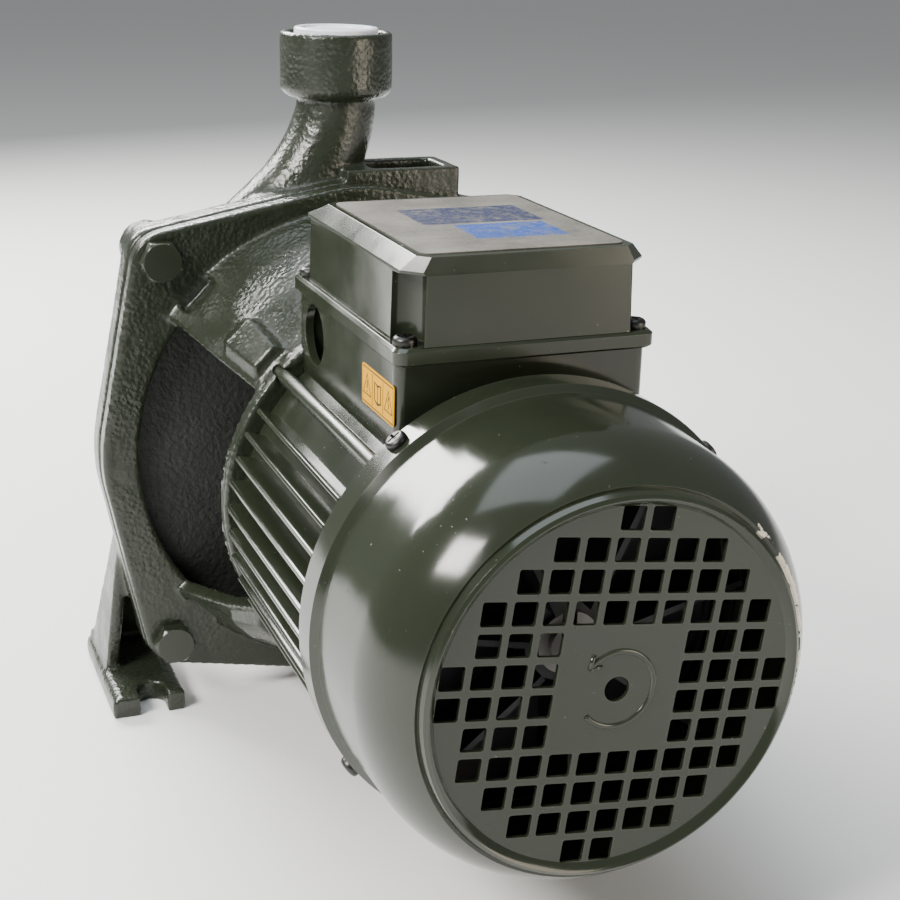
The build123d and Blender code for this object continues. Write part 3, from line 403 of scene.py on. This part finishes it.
def loft_loops(bm, loops, close_ends=True, ring=False):
    """Skin a list of equal closed loops of points, capped at both ends or joined into a ring."""
    rows = [[bm.verts.new(p) for p in loop] for loop in loops]
    count = len(rows[0])
    pairs = list(zip(rows, rows[1:])) + ([(rows[-1], rows[0])] if ring else [])
    for a, b in pairs:
        for i in range(count):
            j = (i + 1) % count
            bm.faces.new((a[i], a[j], b[j], b[i]))
    if close_ends and not ring:
        bm.faces.new(rows[0][::-1])
        bm.faces.new(rows[-1])


def soften(made, width, segments=2, angle=32):
    """Round the sharp edges and keep the flats flat."""
    weld = made.modifiers.new("weld", "WELD")
    weld.merge_threshold = 0.004 * MM
    bevel = made.modifiers.new("edges", "BEVEL")
    bevel.width, bevel.segments = width, segments
    bevel.limit_method, bevel.angle_limit = "ANGLE", radians(angle)
    bevel.miter_outer = "MITER_ARC"
    normals = made.modifiers.new("normals", "WEIGHTED_NORMAL")
    normals.keep_sharp = False
    normals.weight = 80


def as_cast(made, voxel, smoothing, unevenness):
    """Turn crisp solid edges into cast ones: blended, rounded and slightly uneven."""
    remesh = made.modifiers.new("skin", "REMESH")
    remesh.mode, remesh.voxel_size, remesh.use_smooth_shade = "VOXEL", voxel, True
    smooth = made.modifiers.new("rounding", "SMOOTH")
    smooth.factor, smooth.iterations = 0.5, smoothing
    texture = bpy.data.textures.new(made.name + "_unevenness", "CLOUDS")
    texture.noise_scale, texture.noise_depth = 9 * MM, 2
    displace = made.modifiers.new("unevenness", "DISPLACE")
    displace.texture, displace.texture_coords = texture, "LOCAL"
    displace.strength, displace.mid_level = unevenness, 0.5


# ---- places taken from the frame ----------------------------------------------------------------
LID_LOW, LID_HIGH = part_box("terminal_lid")
RIM_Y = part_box("fan_cover")[1].y
FACE_Y = RIM_Y - 1.9 * MM
# radii of the rim's bead where the fan cover's highlight is painted
HIGHLIGHT_RING = (53.4 * MM, 56.6 * MM)
PLATE_LOW, PLATE_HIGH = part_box("rating_label")
LABEL_MID = (PLATE_LOW.y + PLATE_HIGH.y) / 2 / MM
STICKER_LOW, STICKER_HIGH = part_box("warning_label")

camera()
studio()
floor()

PAINTS = {
    "cast_paint": cast_paint(),
    "sheet_paint": smooth_paint("sheet_paint", 0.12, 0.22, 0.0),
    "barrel_paint": smooth_paint("barrel_paint", 0.10, 0.20, 0.01),
    "fastener_paint": smooth_paint("fastener_paint", 0.16, 0.30, 0.03),
    "inner_cast": moulding("inner_cast", (0.006, 0.007, 0.005), 0.55, 520.0, 1.0, 0.5),
    "transit_plastic": transit_plastic(),
    "fan_plastic": moulding("fan_plastic", (0.018, 0.018, 0.022), 0.38, 500.0),
    "dark_screw": bare_metal("dark_screw", (0.06, 0.06, 0.058), 0.30, 900.0),
    "bright_steel": bare_metal("bright_steel", (0.26, 0.25, 0.24), 0.32, 1400.0),
    "zinc_steel": bare_metal("zinc_steel", (0.58, 0.58, 0.55), 0.30, 800.0),
    "laminations": stacked_sheets(),
    "cage_aluminium": bare_metal("cage_aluminium", (0.70, 0.70, 0.71), 0.38, 500.0),
    "brass": bare_metal("brass", (0.70, 0.49, 0.22), 0.24, 900.0),
    "copper": varnished_wire(),
    "rubber": moulding("rubber", (0.02, 0.02, 0.02), 0.60, 700.0, 0.35),
    "ceramic": moulding("ceramic", (0.78, 0.76, 0.70), 0.18, 900.0),
    "carbon": moulding("carbon", (0.03, 0.03, 0.033), 0.28, 900.0),
    "board_plastic": moulding("board_plastic", (0.035, 0.035, 0.038), 0.42, 500.0),
    "capacitor_plastic": moulding("capacitor_plastic", (0.72, 0.72, 0.69), 0.30, 400.0),
    "plate_silver": rating_plate(),
    "sticker_yellow": sticker("sticker_yellow", (0.60, 0.30, 0.0005)),
}
COVER_PAINT = fan_cover_paint()
PRINT_BLACK = sticker("print_black", (0.008, 0.007, 0.005))


def paint_cad_nodes():
    """Give every CAD node its slot's material."""
    slots = {part["node"]: part["material_slot"] for part in record["subparts"]}
    for name, node in nodes.items():
        material = COVER_PAINT if name == "fan_cover" else PAINTS[slots[name]]
        node.data.materials.clear()
        node.data.materials.append(material)


paint_cad_nodes()

# ---- terminal box lid ---------------------------------------------------------------------------
SCREW_HEAD_R = 3.4 * MM
SCREW_LOW, SCREW_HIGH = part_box("lid_screws")
SCREW_X = SCREW_HIGH.x - SCREW_HEAD_R
SCREW_Y = (SCREW_LOW.y + SCREW_HEAD_R, SCREW_HIGH.y - SCREW_HEAD_R)
CORNER_STEPS = 12


def hollow_corner(sx, sy, half_x, end_y, screw_y, radius):
    """Concave arc round a lid screw, from the long side to the short side."""
    dx, dy = half_x - SCREW_X, abs(end_y - screw_y)
    start = atan2(-(radius**2 - dx**2) ** 0.5, dx)
    stop = atan2(dy, -(radius**2 - dy**2) ** 0.5) - tau
    points = []
    for i in range(CORNER_STEPS + 1):
        turn = start + (stop - start) * i / CORNER_STEPS
        points.append((sx * (SCREW_X + radius * cos(turn)), screw_y + sy * radius * sin(turn)))
    return points


def cut_corner(sx, sy, half_x, end_y, size, round_off):
    """Straight or rounded corner with as many points as a hollow one."""
    points = []
    for i in range(CORNER_STEPS + 1):
        share = i / CORNER_STEPS
        flat = (half_x - size * share, end_y - sy * size * (1 - share))
        turn = share * pi / 2
        arc = (half_x - size + size * cos(turn), end_y - sy * (size - size * sin(turn)))
        x, y = [f + (a - f) * round_off for f, a in zip(flat, arc)]
        points.append((sx * x, y))
    return points


def lid_loop(z, half_x, y0, y1, corner, value):
    """One level of the lid: corner is hollow, cut or round, and value its radius or size."""
    loop = []
    for sx, sy in ((1, 1), (-1, 1), (-1, -1), (1, -1)):
        end_y, screw_y = (y1, SCREW_Y[1]) if sy > 0 else (y0, SCREW_Y[0])
        if corner == "hollow":
            points = hollow_corner(sx, sy, half_x, end_y, screw_y, value)
        else:
            points = cut_corner(sx, sy, half_x, end_y, value, 1.0 if corner == "round" else 0.0)
        loop += points if sx * sy > 0 else points[::-1]
    return [(x, y, z) for x, y in loop]


def lid_shell():
    """The lid as one closed shell: hollow inside, lip below, hollowed corners, chamfered top."""
    x0, y0, y1 = LID_HIGH.x, LID_LOW.y, LID_HIGH.y
    low, top = LID_LOW.z, LID_HIGH.z
    lip_top = low + 5.0 * MM
    side = x0 - 2.3 * MM
    front, rear = y0 + 2.4 * MM, y1 - 0.6 * MM
    notch_top, shoulder = top - 5.2 * MM, top - 4.1 * MM

    def level(z, inset, corner, value):
        return lid_loop(z, side - inset, front + inset, rear - inset, corner, value)

    inside_r, notch_r, wall = 8.6 * MM, 6.2 * MM, 2.4 * MM
    lip = ((low, 0.7 * MM), (low + 0.7 * MM, 0), (lip_top - 0.9 * MM, 0), (lip_top, 0.9 * MM))
    loops = [level(top - 6.5 * MM, wall, "hollow", inside_r), level(low, wall, "hollow", inside_r)]
    loops += [lid_loop(z, x0 - inset, y0 + inset, y1 - inset, "round", 3.5 * MM) for z, inset in lip]
    loops += [level(lip_top, 0.0, "hollow", notch_r), level(notch_top, 0.5 * MM, "hollow", notch_r)]
    loops.append(level(notch_top + 0.3 * MM, 0.5 * MM, "cut", 5.5 * MM))
    loops.append(level(shoulder, 0.6 * MM, "cut", 5.0 * MM))
    loops.append(lid_loop(top, side - 4.6 * MM, front + 10.8 * MM, rear - 0.8 * MM, "cut", 3.2 * MM))
    mesh = mesh_of("lid_shell", lambda bm: loft_loops(bm, loops))
    lid = piece("lid_shell", mesh, "sheet_paint", PAINTS["sheet_paint"], "pump", "terminal_lid")
    soften(lid, 0.55 * MM, 3, 25)


# ---- raised marks -------------------------------------------------------------------------------
def ridge(bm, points, normal, width, height, closed=False):
    """Low raised strip that follows points lying on a surface whose normal is given."""
    loops = []
    count = len(points)
    for i, point in enumerate(points):
        before = points[(i - 1) % count] if closed or i else point
        after = points[(i + 1) % count] if closed or i < count - 1 else point
        aside = normal.cross((after - before).normalized())
        section = ((-0.5, -0.3), (-0.45, 0.3), (-0.2, 1.0), (0.2, 1.0), (0.45, 0.3), (0.5, -0.3))
        loops.append([point + aside * width * a + normal * height * b for a, b in section])
    loft_loops(bm, loops, close_ends=not closed, ring=closed)


def turning_mark():
    """Open ring with an arrowhead, pressed outwards in the fan cover: the way the shaft turns."""
    radius, centre, normal = 10.5 * MM, Vector((0, FACE_Y, SHAFT_Z)), Vector((0, 1, 0))

    def at(turn, r):
        return centre + Vector((r * cos(turn), 0, r * sin(turn)))

    def build(bm):
        start, stop, steps = radians(42), radians(322), 60
        arc = [at(start + (stop - start) * i / steps, radius) for i in range(steps + 1)]
        ridge(bm, arc, normal, 1.7 * MM, 0.45 * MM)
        for side in (-1, 1):
            barb = [at(start - 0.04, radius), at(start + 0.26, radius + side * 2.1 * MM)]
            ridge(bm, barb, normal, 1.3 * MM, 0.5 * MM)

    piece("turning_mark", mesh_of("turning_mark", build), "sheet_paint", COVER_PAINT)


def pictograms():
    """Three generic pictures on the sticker: two triangles and a booklet, with thin frames."""
    normal = Vector((1, 0, 0))
    face_x = STICKER_HIGH.x
    middle_z = (STICKER_LOW.z + STICKER_HIGH.z) / 2
    third = (STICKER_HIGH.y - STICKER_LOW.y) / 3

    def at(panel, along, above):
        return Vector((face_x, STICKER_LOW.y + (panel + 0.5) * third + along * MM, middle_z + above * MM))

    triangle = ((-3.2, -2.6), (3.2, -2.6), (0, 3.4))
    booklet = ((-2.6, -2.4), (-2.6, 2.8), (0, 2.1), (2.6, 2.8), (2.6, -2.4), (0, -3.1))
    spark = ((0.5, 1.8), (-0.6, 0.1), (0.6, -0.2), (-0.3, -1.9))

    def build(bm):
        def line(panel, points, width, closed=False):
            ridge(bm, [at(panel, *p) for p in points], normal, width * MM, 0.05 * MM, closed)

        for panel, outline in ((0, triangle), (1, booklet), (2, triangle)):
            line(panel, outline, 0.8, closed=True)
        line(0, ((0, 1.5), (0, -0.8)), 0.8)
        line(0, ((0, -1.4), (0, -1.9)), 0.8)
        line(1, ((0, 2.1), (0, -3.0)), 0.5)
        line(2, spark, 0.6)
        edge = third / 2 / MM
        for panel in (0, 1):
            line(panel, ((edge, -4.6), (edge, 4.6)), 0.4)
        reach_y, reach_z = 1.5 * third / MM - 0.7, (STICKER_HIGH.z - STICKER_LOW.z) / 2 / MM - 0.7
        border = ((-reach_y, -reach_z), (reach_y, -reach_z), (reach_y, reach_z), (-reach_y, reach_z))
        line(1, border, 0.4, closed=True)

    piece("sticker_pictures", mesh_of("sticker_pictures", build), "sticker_yellow", PRINT_BLACK)


def port_thread(name, mount, material):
    """Rolled crests of the pipe thread, standing in the port's bore."""
    pitch, crest = 2.309 * MM, 0.55 * MM
    place, axis = Vector(mount["pos_m"]), Vector(mount["axis"])
    radius, length = mount["dims"]["r_mm"] * MM, mount["dims"]["length_mm"] * MM
    side = axis.orthogonal().normalized()
    other = axis.cross(side)
    steps = 36
    turns = int((length - 2 * MM) / pitch)
    start = place - axis * (turns * pitch / 2)

    def build(bm):
        loops = []
        for i in range(turns * steps + 1):
            turn = tau * i / steps
            outward = side * cos(turn) + other * sin(turn)
            middle = start + axis * (pitch * i / steps)
            section = ((0.05 * MM, -0.45), (-crest, -0.12), (-crest, 0.12), (0.05 * MM, 0.45))
            loops.append([middle + outward * (radius + r) + axis * (pitch * a) for r, a in section])
        loft_loops(bm, loops)

    piece(name, mesh_of(name, build), "cast_paint", material)


lid_shell()
turning_mark()
pictograms()
port_thread("suction_thread", MOUNTS["suction_port"], PAINTS["zinc_steel"])
port_thread("discharge_thread", MOUNTS["discharge_port"], PAINTS["zinc_steel"])

as_cast(nodes["pump_body"], 0.9 * MM, 4, 0.35 * MM)
as_cast(nodes["motor_bracket"], 0.8 * MM, 3, 0.3 * MM)
BEVELS = {"fan_cover": 0.22, "terminal_box": 0.5, "motor_housing": 0.35, "flange_bolts": 0.3,
          "fan_cover_screws": 0.2, "lid_screws": 0.2, "outlet_plug": 0.35, "rear_shield": 0.4,
          "tie_rod_nuts": 0.25, "fan": 0.3, "warning_label": 0.05, "rating_label": 0.08}
for name, width in BEVELS.items():
    soften(nodes[name], width * MM)
